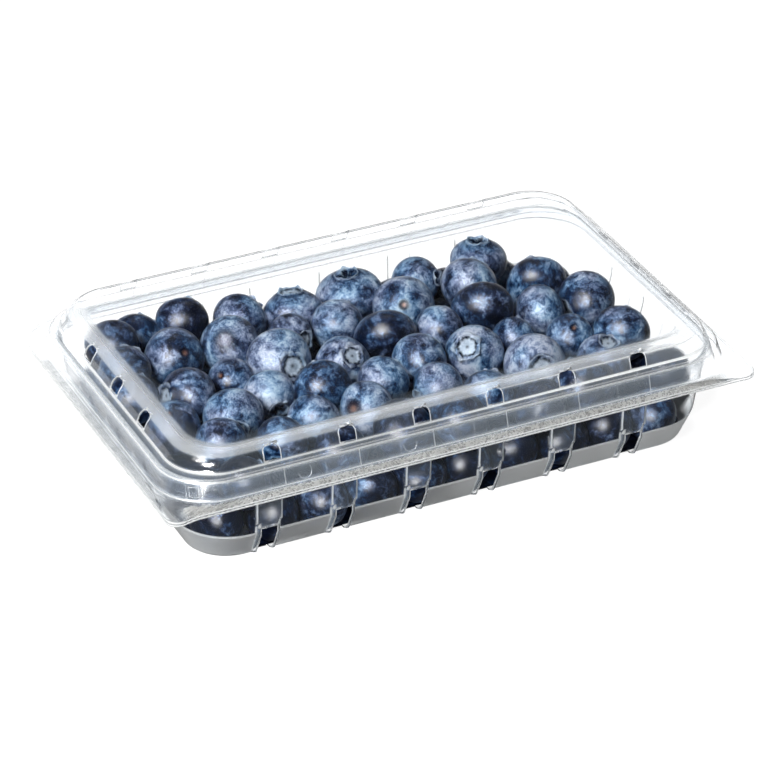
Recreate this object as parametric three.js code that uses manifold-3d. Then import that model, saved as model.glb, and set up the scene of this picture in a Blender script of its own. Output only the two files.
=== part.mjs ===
// Shut clear clamshell punnet of blueberries: a ribbed tray, a domed lid on a living hinge, and the heap.
// Millimetres, +Z up. Origin: centre of the tray's underside. +X runs along the punnet, -Y is its front.
import * as THREE from 'three';
import { mergeVertices } from 'three/addons/utils/BufferGeometryUtils.js';
import Module from 'manifold-3d';

const wasm = await Module();
wasm.setup();

// ---- driving dimensions ----
const LENGTH = 187; // over the rim flanges
const DEPTH = 120;
const SHEET = 0.6; // wall of the formed sheet
const GAP = 0.35; // air between neighbouring pieces
const TRAY_RIM_Z = 23.5; // top of the tray's flange
const RIDGE_Z = 28.9; // top of the tray's raised rim, which the lid's band covers
const LID_RIM_Z = TRAY_RIM_Z + GAP; // underside of the lid's flange
const FLANGE_CORNER = { front: 4, back: 16 };
const CORNER_STEPS = 8; // flats round each corner of a wall, an even number
const OVERLAP = 0.5; // how far joined blocks run into each other, and a hollow past its mouth
const BEYOND = 10; // how far a cutting block runs past what it cuts

// Walls as stacked rounded rectangles: half length a, half depth b, corner radius r, height z.
const TRAY_WALL = [
  { a: 79.5, b: 49.2, r: 13, z: 0 },
  { a: 82.4, b: 53.3, r: 19, z: 8.8 },
  { a: 85.8, b: 53.9, r: 19, z: TRAY_RIM_Z - SHEET },
];
const RIDGE = [
  { a: 88.6, b: 54.9, r: 16.5, z: TRAY_RIM_Z },
  { a: 87.3, b: 53.5, r: 15, z: RIDGE_Z },
];
const RIDGE_WALL = 1; // thickness of the raised rim
const LID_WALL = [
  { a: 90.3, b: 56.3, r: 17, z: LID_RIM_Z },
  { a: 88.7, b: 54.6, r: 15.6, z: 29.4 },
  { a: 87.9, b: 54.0, r: 15.3, z: 30.2 },
  { a: 85.6, b: 53.0, r: 15, z: 31.3 },
  { a: 84.6, b: 52.2, r: 14.6, z: 34.2 },
  { a: 83.1, b: 51.0, r: 14, z: 36 },
  { a: 81.3, b: 49.6, r: 13, z: 36.7 },
];

// Ribs and vents stand in a row on each side: the wall's half size there (key), the side's turn from the
// front, how many and how far apart. Each side is drawn as if it were the front and then turned, so sign
// makes the same shift go the same way along the punnet at the front and at the back.
const SIDES = [
  { key: 'b', turn: 0, sign: 1, count: 6, pitch: 23.2 },
  { key: 'a', turn: Math.PI / 2, sign: 0, count: 3, pitch: 20 },
  { key: 'b', turn: Math.PI, sign: -1, count: 6, pitch: 23.2 },
  { key: 'a', turn: -Math.PI / 2, sign: 0, count: 3, pitch: 20 },
];
const RIB = { width: 8.3, proud: 1.5, lowWidth: 6.6, lowProud: 0.7, stepZ: 10.5, root: 1.2, shift: -3.2 };
const TRAY_VENT = { width: 5, top: 9.9, reach: 1.8 };
const LID_VENT = { width: 5, low: 31.9, high: 36, shift: -1 };

// The heap: berries on a core that they cover, two layers deep, with a hollow at the back right.
const BERRY = { diameter: 17.6, spread: 1.3, squash: 0.88, meridians: 8, rings: 5 };
const HEAP_LAYERS = [
  { z: 9.6, rows: 6, perRow: 10, crown: 0, ringOnly: true },
  { z: 21.8, rows: 6, perRow: 10, crown: 2.6, ringOnly: false },
];
const HEAP_REACH = { x: 75.5, y: 43.5 }; // centres of the outermost berries
const HEAP_JITTER = 1.6;
const HEAP_CORE = [
  { a: 70, b: 39, r: 12, z: 5 },
  { a: 76, b: 45, r: 12, z: 10 },
  { a: 72, b: 41, r: 12, z: 19.5 },
];
const HOLLOW = { x: 78, y: 46, reach: 34, coreReach: 26, floorZ: 16 }; // the bare back right corner

// ---- solids ----
const materials = {
  clearPet: new THREE.MeshStandardMaterial({ color: 0xdfe8ec, roughness: 0.08, metalness: 0 }),
  clearLid: new THREE.MeshStandardMaterial({ color: 0xe9f0f3, roughness: 0.06, metalness: 0 }),
  berrySkin: new THREE.MeshStandardMaterial({ color: 0x42587c, roughness: 0.55, metalness: 0 }),
};

function toSolid(geometry) {
  const bare = geometry.index ? geometry.toNonIndexed() : geometry.clone();
  bare.deleteAttribute('normal');
  bare.deleteAttribute('uv');
  const merged = mergeVertices(bare, 1e-4);
  const mesh = new wasm.Mesh({
    numProp: 3,
    vertProperties: new Float32Array(merged.attributes.position.array),
    triVerts: new Uint32Array(merged.index.array),
  });
  return new wasm.Manifold(mesh);
}

function toMesh(name, solid, material) {
  const { vertProperties, triVerts } = solid.getMesh();
  const geometry = new THREE.BufferGeometry();
  geometry.setAttribute('position', new THREE.BufferAttribute(new Float32Array(vertProperties), 3));
  geometry.setIndex(new THREE.BufferAttribute(new Uint32Array(triVerts), 1));
  geometry.computeVertexNormals();
  const mesh = new THREE.Mesh(geometry, material);
  mesh.name = name;
  return mesh;
}

function joined(solids) {
  return solids.reduce((sum, solid) => sum.add(solid));
}

// The outer body alone: a pocket that the join sealed is filled, and a loose scrap dropped.
function outerBody(solid) {
  return solid.decompose().reduce((most, piece) => (piece.volume() > most.volume() ? piece : most));
}

// A rounded rectangle, anticlockwise from above, with its own radius at the front and the back corners.
function roundedShape(a, b, frontRadius, backRadius = frontRadius) {
  const shape = new THREE.Shape();
  shape.absarc(a - frontRadius, frontRadius - b, frontRadius, -Math.PI / 2, 0);
  shape.absarc(a - backRadius, b - backRadius, backRadius, 0, Math.PI / 2);
  shape.absarc(backRadius - a, b - backRadius, backRadius, Math.PI / 2, Math.PI);
  shape.absarc(frontRadius - a, frontRadius - b, frontRadius, Math.PI, Math.PI * 1.5);
  return shape;
}

function plate(shape, low, high) {
  const options = { depth: high - low, bevelEnabled: false, curveSegments: CORNER_STEPS / 2 };
  return toSolid(new THREE.ExtrudeGeometry(shape, options).translate(0, 0, low));
}

// A closed solid through stacked rounded rectangles, with flat ends.
function loft(levels) {
  const rings = levels.map(({ a, b, r, z }) =>
    roundedShape(a, b, r)
      .getPoints(CORNER_STEPS / 2)
      .map((point) => [point.x, point.y, z]),
  );
  const around = rings[0].length;
  const last = (rings.length - 1) * around;
  const points = rings.flat();
  const low = points.push([0, 0, levels[0].z]) - 1;
  const high = points.push([0, 0, levels.at(-1).z]) - 1;
  const faces = [];
  for (let i = 0; i < around; i += 1) {
    const next = (i + 1) % around;
    faces.push(low, next, i, high, last + i, last + next);
    for (let base = 0; base < last; base += around) {
      faces.push(base + i, base + next, base + around + next);
      faces.push(base + i, base + around + next, base + around + i);
    }
  }
  const geometry = new THREE.BufferGeometry();
  geometry.setAttribute('position', new THREE.Float32BufferAttribute(points.flat(), 3));
  geometry.setIndex(faces);
  return toSolid(geometry);
}

// The same wall moved inwards by an amount square to its slope.
function inset(levels, amount) {
  return levels.map((level, i) => {
    const before = levels[Math.max(i - 1, 0)];
    const after = levels[Math.min(i + 1, levels.length - 1)];
    const rise = after.z - before.z;
    const run = after.b - before.b;
    const slope = Math.hypot(rise, run);
    const inward = (amount * rise) / slope;
    const down = (amount * -run) / slope;
    return {
      a: level.a - inward,
      b: level.b - inward,
      r: Math.max(level.r - inward, 1),
      z: level.z - down,
    };
  });
}

// How far out a wall stands at a height, on the long sides (b) or the short ones (a).
function reachAt(levels, key, z) {
  const above = levels.findIndex((level) => level.z >= z);
  const upper = above < 0 ? levels.length - 1 : Math.max(above, 1);
  const low = levels[upper - 1];
  const high = levels[upper];
  return THREE.MathUtils.mapLinear(z, low.z, high.z, low[key], high[key]);
}

// The outline of a cutting block that starts at foot and runs out past the wall.
function boxOutline(foot, low, high) {
  return [
    [foot, low],
    [foot + BEYOND, low],
    [foot + BEYOND, high],
    [foot, high],
  ];
}

// A block that stands on one side's wall: an outline in (outwards, up), drawn out along the side.
function sideBlock(outline, width, along, turn) {
  const shape = new THREE.Shape(outline.map(([out, up]) => new THREE.Vector2(out, up)));
  const geometry = new THREE.ExtrudeGeometry(shape, { depth: width, bevelEnabled: false });
  geometry.translate(0, 0, -width / 2);
  const toFront = new THREE.Matrix4().makeBasis(
    new THREE.Vector3(0, -1, 0),
    new THREE.Vector3(0, 0, 1),
    new THREE.Vector3(-1, 0, 0),
  );
  geometry.applyMatrix4(toFront);
  geometry.translate(along, 0, 0);
  geometry.rotateZ(turn);
  return toSolid(geometry);
}

function onEverySide(shift, makeSolid) {
  const solids = SIDES.flatMap((side) =>
    Array.from({ length: side.count }, (_, i) => {
      const along = (i - (side.count - 1) / 2) * side.pitch + shift * side.sign;
      return makeSolid(side, along);
    }),
  );
  return joined(solids);
}

// A rib: wide and proud above its step, narrower and shallower below. skin is 0 for its outside.
function ribs(skin) {
  const root = RIB.root + skin; // how far the block sinks into the wall
  return onEverySide(RIB.shift, ({ key, turn }, along) => {
    const wall = (z) => reachAt(TRAY_WALL, key, z);
    const bandTop = TRAY_RIM_Z - SHEET / 2 - skin;
    const knee = TRAY_WALL[1].z;
    const step = RIB.stepZ + skin;
    const low = [
      [wall(0) - root, skin],
      [wall(skin) + RIB.lowProud - skin, skin],
      [wall(knee) + RIB.lowProud - skin, knee],
      [wall(step) + RIB.lowProud - skin, step + OVERLAP],
      [wall(step) - root, step + OVERLAP],
      [wall(knee) - root, knee],
    ];
    const high = [
      [wall(step) - root, step],
      [wall(step) + RIB.proud - skin, step],
      [wall(bandTop) + RIB.proud - skin, bandTop],
      [wall(bandTop) - root, bandTop],
    ];
    const lowBlock = sideBlock(low, RIB.lowWidth - 2 * skin, along, turn);
    return lowBlock.add(sideBlock(high, RIB.width - 2 * skin, along, turn));
  });
}

function trayVents() {
  return onEverySide(RIB.shift, ({ key, turn }, along) => {
    const foot = reachAt(TRAY_WALL, key, 0) - TRAY_VENT.reach;
    return sideBlock(boxOutline(foot, -BEYOND, TRAY_VENT.top), TRAY_VENT.width, along, turn);
  });
}

function lidVents() {
  return onEverySide(LID_VENT.shift, ({ key, turn }, along) => {
    const crest = LID_WALL.at(-1)[key];
    return sideBlock(boxOutline(crest, LID_VENT.low, LID_VENT.high), LID_VENT.width, along, turn);
  });
}

function flange(low) {
  const shape = roundedShape(LENGTH / 2, DEPTH / 2, FLANGE_CORNER.front, FLANGE_CORNER.back);
  return plate(shape, low, low + SHEET);
}

function makeTray() {
  const outside = joined([loft([...TRAY_WALL, ...RIDGE]), ribs(0), flange(TRAY_RIM_Z - SHEET)]);
  const wallInside = inset(TRAY_WALL, SHEET);
  wallInside[0].z = SHEET;
  const mouth = RIDGE.slice(1).map(({ a, b, r, z }) => ({
    a: a - RIDGE_WALL,
    b: b - RIDGE_WALL,
    r: r - RIDGE_WALL,
    z: z + OVERLAP,
  }));
  const inside = loft([...wallInside, ...mouth]).add(ribs(SHEET));
  return outside.subtract(inside).subtract(trayVents());
}

function makeLid() {
  const outside = loft(LID_WALL).add(flange(LID_RIM_Z));
  const under = inset(LID_WALL, SHEET);
  under[0].z = LID_RIM_Z - OVERLAP;
  under.at(-1).z = LID_WALL.at(-1).z - SHEET;
  return outside.subtract(loft(under)).subtract(lidVents());
}

// Repeatable draws between 0 and 1.
function makeDraw(seed) {
  let state = seed;
  return () => {
    state = (Math.imul(state, 1664525) + 1013904223) >>> 0;
    return state / 4294967296;
  };
}

function berryPlaces(draw) {
  const places = [];
  HEAP_LAYERS.forEach(({ z, rows, perRow, crown, ringOnly }) => {
    for (let row = 0; row < rows; row += 1) {
      for (let i = 0; i < perRow; i += 1) {
        const across = (row / (rows - 1)) * 2 - 1;
        const stagger = row % 2 ? 0.5 : 0;
        const along = Math.min(((i + stagger) / (perRow - 0.75)) * 2 - 1, 1);
        const jitter = [draw(), draw(), draw()].map((value) => (value * 2 - 1) * HEAP_JITTER);
        const inner = Math.abs(across) < 0.9 && i > 0 && i < perRow - 1;
        const x = along * HEAP_REACH.x + jitter[0];
        const y = across * HEAP_REACH.y + jitter[1];
        const lift = crown * (1 - across * across);
        const bare = z > HOLLOW.floorZ && Math.hypot(x - HOLLOW.x, y - HOLLOW.y) < HOLLOW.reach;
        if (!(ringOnly && inner) && !bare) {
          places.push(new THREE.Vector3(x, y, z + lift + jitter[2] / 2));
        }
      }
    }
  });
  return places;
}

function makeBerries() {
  const draw = makeDraw(11);
  const solids = berryPlaces(draw).map((place) => {
    const radius = (BERRY.diameter + (draw() * 2 - 1) * BERRY.spread) / 2;
    const geometry = new THREE.SphereGeometry(radius, BERRY.meridians, BERRY.rings);
    geometry.scale(1, BERRY.squash, 1);
    geometry.rotateX((draw() - 0.5) * Math.PI);
    geometry.rotateZ((draw() - 0.5) * Math.PI);
    geometry.translate(place.x, place.y, place.z);
    return toSolid(geometry);
  });
  const corner = toSolid(
    new THREE.CylinderGeometry(HOLLOW.coreReach, HOLLOW.coreReach, BEYOND, 3 * CORNER_STEPS)
      .rotateX(Math.PI / 2)
      .translate(HOLLOW.x, HOLLOW.y, HOLLOW.floorZ + BEYOND / 2),
  );
  const core = loft(HEAP_CORE).subtract(corner);
  const room = inset(TRAY_WALL, SHEET + GAP);
  room[0].z = SHEET + GAP;
  const brow = inset(LID_WALL.slice(-2), SHEET + GAP);
  return outerBody(joined([core, ...solids]).intersect(loft([...room, ...brow])));
}

const punnet = new THREE.Group();
punnet.add(toMesh('tray', makeTray(), materials.clearPet));
punnet.add(toMesh('lid', makeLid(), materials.clearLid));
punnet.add(toMesh('berries', makeBerries(), materials.berrySkin));

export default punnet;
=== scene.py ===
import math

import bpy
import numpy as np
from mathutils import Matrix, Vector


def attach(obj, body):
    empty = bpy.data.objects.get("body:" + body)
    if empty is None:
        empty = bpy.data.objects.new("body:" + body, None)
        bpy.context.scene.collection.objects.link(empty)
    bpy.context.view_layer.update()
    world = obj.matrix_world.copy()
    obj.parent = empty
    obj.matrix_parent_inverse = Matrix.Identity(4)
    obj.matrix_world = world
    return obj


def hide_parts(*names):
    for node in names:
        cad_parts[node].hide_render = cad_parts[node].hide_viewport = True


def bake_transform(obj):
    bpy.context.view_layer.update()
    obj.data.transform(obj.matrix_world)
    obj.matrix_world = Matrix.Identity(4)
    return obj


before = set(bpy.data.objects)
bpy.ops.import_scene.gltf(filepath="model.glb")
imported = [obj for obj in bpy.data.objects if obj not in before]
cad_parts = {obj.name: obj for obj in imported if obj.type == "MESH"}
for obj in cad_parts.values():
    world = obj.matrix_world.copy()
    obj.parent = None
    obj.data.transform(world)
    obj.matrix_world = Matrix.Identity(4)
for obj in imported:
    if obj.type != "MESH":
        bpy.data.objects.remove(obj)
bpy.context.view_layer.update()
mm = 0.001  # all sizes below are millimetres, the scene is metres
print("frame loaded:", sorted(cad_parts))


cameraSetup = {
    "azimuth": -25.6,  # degrees round from the front, towards the left
    "elevation": 31.1,
    "distance": 1203.3,
    "aimRight": 0.5,  # the point looked at, from the middle of the underside
    "aimUp": 10.5,
    "lens": 189.2,
}


def wayTo(azimuth, elevation):
    # the direction at an azimuth round from the front and a height above the horizon, in degrees
    az, el = math.radians(azimuth), math.radians(elevation)
    return Vector((math.sin(az) * math.cos(el), -math.cos(az) * math.cos(el), math.sin(el)))


viewBack = wayTo(cameraSetup["azimuth"], cameraSetup["elevation"])
viewRight = Vector((0, 0, 1)).cross(viewBack).normalized()
viewUp = viewBack.cross(viewRight)


def addCamera(setup):
    data = bpy.data.cameras.new("camera")
    data.lens = setup["lens"]
    data.sensor_width = 36
    data.clip_start = 0.01
    cam = bpy.data.objects.new("camera", data)
    aim = viewRight * setup["aimRight"] + viewUp * setup["aimUp"]
    turn = Matrix((viewRight, viewUp, viewBack)).transposed()
    cam.matrix_world = Matrix.Translation((aim + viewBack * setup["distance"]) * mm) @ turn.to_4x4()
    bpy.context.scene.collection.objects.link(cam)
    bpy.context.scene.camera = cam


addCamera(cameraSetup)


def addPiece(name, verts, faces, material, smooth=True):
    mesh = bpy.data.meshes.new(name)
    mesh.from_pydata([tuple(v) for v in np.asarray(verts) * mm], [], faces)
    mesh.validate()
    mesh.update()
    mesh.polygons.foreach_set("use_smooth", [smooth] * len(mesh.polygons))
    mesh.materials.append(material)
    piece = bpy.data.objects.new(name, mesh)
    bpy.context.scene.collection.objects.link(piece)
    return piece


def addValues(piece, name, values):
    layer = piece.data.attributes.new(name, "FLOAT", "POINT")
    layer.data.foreach_set("value", np.asarray(values, np.float32))


def thicken(piece, thickness, offset=-1):
    solid = piece.modifiers.new("sheet", "SOLIDIFY")
    solid.thickness = thickness * mm
    solid.offset = offset
    with bpy.context.temp_override(object=piece, active_object=piece):
        bpy.ops.object.modifier_apply(modifier=solid.name)


def smoothStep(t):
    t = np.clip(t, 0, 1)
    return t * t * (3 - 2 * t)


def rise(value, start, over):
    # goes from 0 to 1 over a length that begins at the start
    return smoothStep((value - start) / over)


def ridge(distance, width):
    # 1 at no distance, fading out over the width
    return np.exp(-(np.asarray(distance) / width) ** 2)


def newMaterial(name):
    material = bpy.data.materials.new(name)
    material.use_nodes = True
    material.node_tree.nodes.clear()
    return material, material.node_tree


def newNode(tree, kind, inputs=(), dataType=None):
    # each input gets a number, a colour or what another node gives
    node = tree.nodes.new("ShaderNode" + kind)
    if dataType:
        node.data_type = dataType
    for socket, value in dict(inputs).items():
        if isinstance(value, (int, float)):
            node.inputs[socket].default_value = value
        elif isinstance(value, tuple):
            node.inputs[socket].default_value = (*value, 1)
        else:
            tree.links.new(value, node.inputs[socket])
    return node


def attributeNode(tree, name):
    node = newNode(tree, "Attribute")
    node.attribute_name = name
    return node.outputs["Fac"]


def placeNode(tree, kind="Object"):
    return newNode(tree, "TexCoord").outputs[kind]


def noiseNode(tree, place, scale, detail, roughness=0.55, twist=0.0):
    inputs = {"Vector": place, "Scale": scale, "Detail": detail, "Roughness": roughness, "Distortion": twist}
    return newNode(tree, "TexNoise", inputs).outputs["Fac"]


def rampNode(tree, fac, stops):
    # stops are (place, colour) or (place, grey)
    node = newNode(tree, "ValToRGB", {"Fac": fac})
    ramp = node.color_ramp
    while len(ramp.elements) < len(stops):
        ramp.elements.new(0.5)
    for element, (place, color) in zip(ramp.elements, stops):
        element.position = place
        element.color = (*color, 1) if isinstance(color, tuple) else (color, color, color, 1)
    return node.outputs["Color"]


def rangeNode(tree, value, fromEnds, toEnds=(0.0, 1.0)):
    ends = zip(("From Min", "From Max", "To Min", "To Max"), (*fromEnds, *toEnds))
    return newNode(tree, "MapRange", {"Value": value, **dict(ends)}).outputs["Result"]


def mathNode(tree, kind, a, b=0.0):
    node = newNode(tree, "Math", {0: a, 1: b})
    node.operation = kind
    node.use_clamp = kind in ("ADD", "MULTIPLY")
    return node.outputs[0]


def weighted(tree, values, weights):
    # the sum of several values, each by its weight
    parts = [mathNode(tree, "MULTIPLY", value, weight) for value, weight in zip(values, weights)]
    total = parts[0]
    for part in parts[1:]:
        total = mathNode(tree, "ADD", total, part)
    return total


def mixColor(tree, fac, a, b):
    return newNode(tree, "Mix", {0: fac, 6: a, 7: b}, "RGBA").outputs[2]


def mixValue(tree, fac, a, b):
    return newNode(tree, "Mix", {0: fac, 2: a, 3: b}).outputs[0]


def mixShader(tree, fac, a, b):
    return newNode(tree, "MixShader", {0: fac, 1: a, 2: b}).outputs[0]


def bumpNode(tree, height, distance, strength=1.0):
    inputs = {"Height": height, "Distance": distance * mm, "Strength": strength}
    return newNode(tree, "Bump", inputs).outputs["Normal"]


clearPet = {
    "ior": 1.40,
    "farIor": 1.16,  # of the far walls, which hardly show
    "polish": 0.05,  # roughness of the clear sheet
    "milkRough": 1.2,  # roughness where it is stretched milky
    "clearTint": (0.975, 0.98, 0.985),
    "hazeTint": (0.68, 0.83, 1.0),  # a faint milkiness looks blue, a strong one white
    "milkTint": (0.90, 0.93, 0.95),
    "whitening": 5.0,  # how soon the one goes over into the other
    "knurlTint": (0.60, 0.605, 0.60),
    "lampTint": (0.95, 0.96, 0.97),
    "ripple": 0.06,  # height of the slow waves that forming leaves, mm
    "rippleScale": 60,
}


def clearSheet(name):
    look = clearPet
    material, tree = newMaterial(name)
    # milk is the sheet's haze; along folds, vent edges and rib outlines it also carries painted highlights
    milk, knurl = attributeNode(tree, "milk"), attributeNode(tree, "knurl")
    clear = mixColor(tree, knurl, look["clearTint"], look["knurlTint"])
    white = mathNode(tree, "MULTIPLY", milk, look["whitening"])
    hazy = mixColor(tree, white, look["hazeTint"], look["milkTint"])
    hazy = mixColor(tree, knurl, hazy, look["knurlTint"])
    rough = mathNode(tree, "MULTIPLY", milk, look["milkRough"])
    waves = noiseNode(tree, placeNode(tree), look["rippleScale"], 1)
    finish = {
        "Roughness": mathNode(tree, "ADD", rough, look["polish"]),
        "Normal": bumpNode(tree, waves, look["ripple"]),
        "IOR": mixValue(tree, attributeNode(tree, "far"), look["ior"], look["farIor"]),
    }
    sheet = newNode(tree, "BsdfPrincipled", {"Base Color": clear, "Transmission Weight": 1.0, **finish})
    haze = newNode(tree, "BsdfPrincipled", {"Base Color": hazy, **finish})
    surface = mixShader(tree, milk, sheet.outputs[0], haze.outputs[0])
    # the thin sheet lets lamps and the room's soft light through
    rays = newNode(tree, "LightPath")
    through = newNode(tree, "BsdfTransparent", {"Color": look["lampTint"]})
    for ray in ("Is Diffuse Ray", "Is Shadow Ray"):
        surface = mixShader(tree, rays.outputs[ray], surface, through.outputs[0])
    newNode(tree, "OutputMaterial", {"Surface": surface})
    return material


berrySkinLook = {
    # from rubbed skin to thick bloom, each as a clear blue and as a slate that leans to purple
    "coats": [
        (0.400, (0.0005, 0.003, 0.013), (0.001, 0.002, 0.008)),
        (0.445, (0.003, 0.011, 0.040), (0.007, 0.011, 0.030)),
        (0.490, (0.030, 0.080, 0.180), (0.050, 0.074, 0.150)),
        (0.540, (0.150, 0.260, 0.410), (0.185, 0.235, 0.360)),
        (0.600, (0.400, 0.530, 0.660), (0.440, 0.495, 0.610)),
    ],
    "lean": (95, 2), "leanTurn": (0.40, 0.60),  # patches of blue and slate, and where they meet
    # the bloom lies in soft patches, rubbed off unevenly, with scratches and specks: scale, detail,
    # roughness and twist
    "patches": (170, 5, 0.60, 0.8), "mottle": (680, 5, 0.72, 0.8), "grain": (2100, 3, 0.7),
    "waxShares": (0.44, 0.36, 0.12),  # how much each of the three counts
    "middleTone": 0.455,
    # what covers the bloom, where a berry's own values say so: dry disc, scar, its heart, and painted shade
    "tints": {
        "disc": (0.40, 0.47, 0.54),  # dry grey
        "scar": (0.030, 0.012, 0.010),  # brown
        "heart": (0.17, 0.075, 0.042),  # orange
        "shade": (0.002, 0.004, 0.012),  # deep gaps
    },
    "matt": 0.6,  # roughness under the sheen
    # wax and roughness of the sheen, for rubbed skin and for skin under its bloom
    "glossy": (0.42, 0.38), "waxy": (0.57, 0.46),
    "sheenIor": 1.46, "shine": 0.9,
    "reliefShares": (0.6, 0.4),  # of mottle and grain
    "relief": (0.05, 0.7),  # height in mm, and strength
}


def berrySkin(name):
    look = berrySkinLook
    material, tree = newMaterial(name)
    place = placeNode(tree)
    noises = [noiseNode(tree, place, *look[noise]) for noise in ("patches", "mottle", "grain")]
    wax = weighted(tree, noises, look["waxShares"])
    tone = mathNode(tree, "SUBTRACT", attributeNode(tree, "tone"), look["middleTone"])
    wax = mathNode(tree, "ADD", wax, tone)
    blue, slate = (rampNode(tree, wax, [(coat[0], coat[k]) for coat in look["coats"]]) for k in (1, 2))
    lean = rampNode(tree, noiseNode(tree, place, *look["lean"]), list(zip(look["leanTurn"], (0, 1))))
    color = mixColor(tree, lean, blue, slate)
    for part, tint in look["tints"].items():
        color = mixColor(tree, attributeNode(tree, part), color, tint)
    relief = weighted(tree, noises[1:], look["reliefShares"])
    normal = bumpNode(tree, relief, *look["relief"])
    rough = rampNode(tree, wax, [look["glossy"], look["waxy"]])
    skin = newNode(tree, "BsdfPrincipled", {"Base Color": color, "Roughness": look["matt"],
                                            "Specular IOR Level": 0.0, "Normal": normal})
    sheen = newNode(tree, "BsdfAnisotropic", {"Roughness": rough, "Normal": normal})
    sheen.distribution = "BECKMANN"
    fresnel = newNode(tree, "Fresnel", {"IOR": look["sheenIor"], "Normal": normal})
    # painted shade also takes away the sheen
    lit = mathNode(tree, "SUBTRACT", 1.0, attributeNode(tree, "shade"))
    shine = mathNode(tree, "MULTIPLY", lit, look["shine"])
    shine = mathNode(tree, "MULTIPLY", fresnel.outputs[0], shine)
    newNode(tree, "OutputMaterial", {"Surface": mixShader(tree, shine, skin.outputs[0], sheen.outputs[0])})
    return material


trayClear = clearSheet("clearTray")
lidClear = clearSheet("clearLid")
blueSkin = berrySkin("berrySkin")
print("materials made")


# A sheet is a section swept round a rounded rectangle. A level of a section is (half length, half depth,
# front corner, back corner, height, how far the fold is rounded, how white the fold is: milk, partly a
# painted highlight).
def roundFolds(levels, steps=3):
    points = [np.array(level[:5], float) for level in levels]
    rows, milk = [points[0]], [0.0]
    for before, here, after, level in zip(points, points[1:], points[2:], levels[1:]):
        soft, milky = level[5:]
        gaps = [np.hypot(*(other - here)[[1, 4]]) for other in (before, after)]
        start, end = (here + (other - here) * min(soft / max(gap, 1e-6), 0.5)
                      for other, gap in zip((before, after), gaps))
        for i in range(steps + 1 if soft > 0 else 1):
            t = i / steps if soft > 0 else 0.5
            rows.append(start * (1 - t) ** 2 + here * 2 * t * (1 - t) + end * t * t)
            milk.append(milky * (1 - abs(2 * t - 1) ** 2 * 0.7))
    return np.array(rows + [points[-1]]), np.array(milk + [0.0])


def addRows(rows, milk, zones):
    # more rows where a zone (lowest, highest, spacing) asks for them
    newRows, newMilk = [rows[0]], [milk[0]]
    for low, high, milkHigh in zip(rows, rows[1:], milk[1:]):
        middle = (low[4] + high[4]) / 2
        spacing = min([step for bottom, top, step in zones if bottom < middle < top], default=1e9)
        n = max(1, math.ceil(abs(high[4] - low[4]) / spacing - 1e-6))
        for i in range(1, n + 1):
            newRows.append(low + (high - low) * i / n)
            newMilk.append(milkHigh if i == n else 0.0)
    return np.array(newRows), np.array(newMilk)


def makeLoop(longStations, shortStations, cornerSteps):
    # the columns round a sheet: stations along each side, each side followed by its corner's angles
    angles = np.linspace(0, 90, cornerSteps + 1)
    side, station, angle = [], [], []
    for i, stations in enumerate([longStations, shortStations, longStations[::-1], shortStations[::-1]]):
        side += [i] * (len(stations) + len(angles))
        station += list(stations) + [np.nan] * len(angles)
        angle += [np.nan] * len(stations) + list(angles + i * 90 - 90)
    side, station, angle = np.array(side), np.array(station), np.radians(np.array(angle))
    onSide = ~np.isnan(station)
    facing = np.where(onSide, np.radians(side * 90.0 - 90), np.nan_to_num(angle))
    return {"side": side, "station": station, "angle": angle, "onSide": onSide, "count": len(side),
            "out": np.stack([np.cos(facing), np.sin(facing)], 1)}


def ringAt(loop, row):
    a, b, front, back, z = row
    side, onSide = loop["side"], loop["onSide"]
    xy = np.zeros((loop["count"], 2))
    for i, (sx, sy, radius) in enumerate([(1, -1, front), (1, 1, back), (-1, 1, back), (-1, -1, front)]):
        flat = onSide & (side == i)
        along, across = loop["station"][flat], (-b, a, b, -a)[i]
        xy[flat] = np.stack([along, np.full(len(along), across)] if i % 2 == 0
                            else [np.full(len(along), across), along], 1)
        turn = ~onSide & (side == i)
        xy[turn, 0] = sx * (a - radius) + radius * np.cos(loop["angle"][turn])
        xy[turn, 1] = sy * (b - radius) + radius * np.sin(loop["angle"][turn])
    return np.column_stack([xy, np.full(loop["count"], z)])


def sortedStations(values, reach, widest):
    # keeps the named stations and fills long gaps evenly
    marks = sorted(set(round(v, 3) for v in values if abs(v) < reach) | {-reach, reach})
    filled = []
    for low, high in zip(marks, marks[1:]):
        n = max(1, math.ceil((high - low) / widest))
        filled += list(np.linspace(low, high, n, endpoint=False))
    return np.array(filled + [marks[-1]])


def fromCentres(loop, longCentres, shortCentres):
    # each column's offset along its side from the nearest of the named centres
    offsets = np.full(loop["count"], 99.0)
    for side in range(4):
        here = loop["onSide"] & (loop["side"] == side)
        for centre in (longCentres if side % 2 == 0 else shortCentres):
            away = loop["station"][here] - centre
            offsets[here] = np.where(np.abs(away) < np.abs(offsets[here]), away, offsets[here])
    return offsets


def openCells(loop, rows, offsets, half, lowest, highest):
    # the cells of the grid that a row of vents leaves open
    z = rows[:, 4]
    middle = (z[:-1] + z[1:]) / 2
    centre = (offsets + np.roll(offsets, -1)) / 2
    near = (np.abs(centre) < half) & (np.abs(offsets - np.roll(offsets, -1)) < 2 * half)
    return ((middle > lowest) & (middle < highest))[:, None] & near[None, :]


def gridFaces(rows, columns, skip=None):
    faces = []
    for r in range(rows - 1):
        for c in range(columns):
            if skip is not None and skip[r, c]:
                continue
            d = (c + 1) % columns
            faces.append((r * columns + c, r * columns + d, (r + 1) * columns + d, (r + 1) * columns + c))
    return faces


farWalls = {
    # the right and the back hardly show. Each begins at a start and is full over a width.
    "facing": (0.3, 0.4),  # by how far the sheet faces there
    "right": (75, 7), "back": (42.5, 3.5),  # by its x and y
}


def farSides(loop):
    # 1 on the right and the back
    return rise(loop["out"].max(1), *farWalls["facing"])


def spread(count, pitch, shift=0.0):
    return [(i - (count - 1) / 2) * pitch + shift for i in range(count)]


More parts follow.
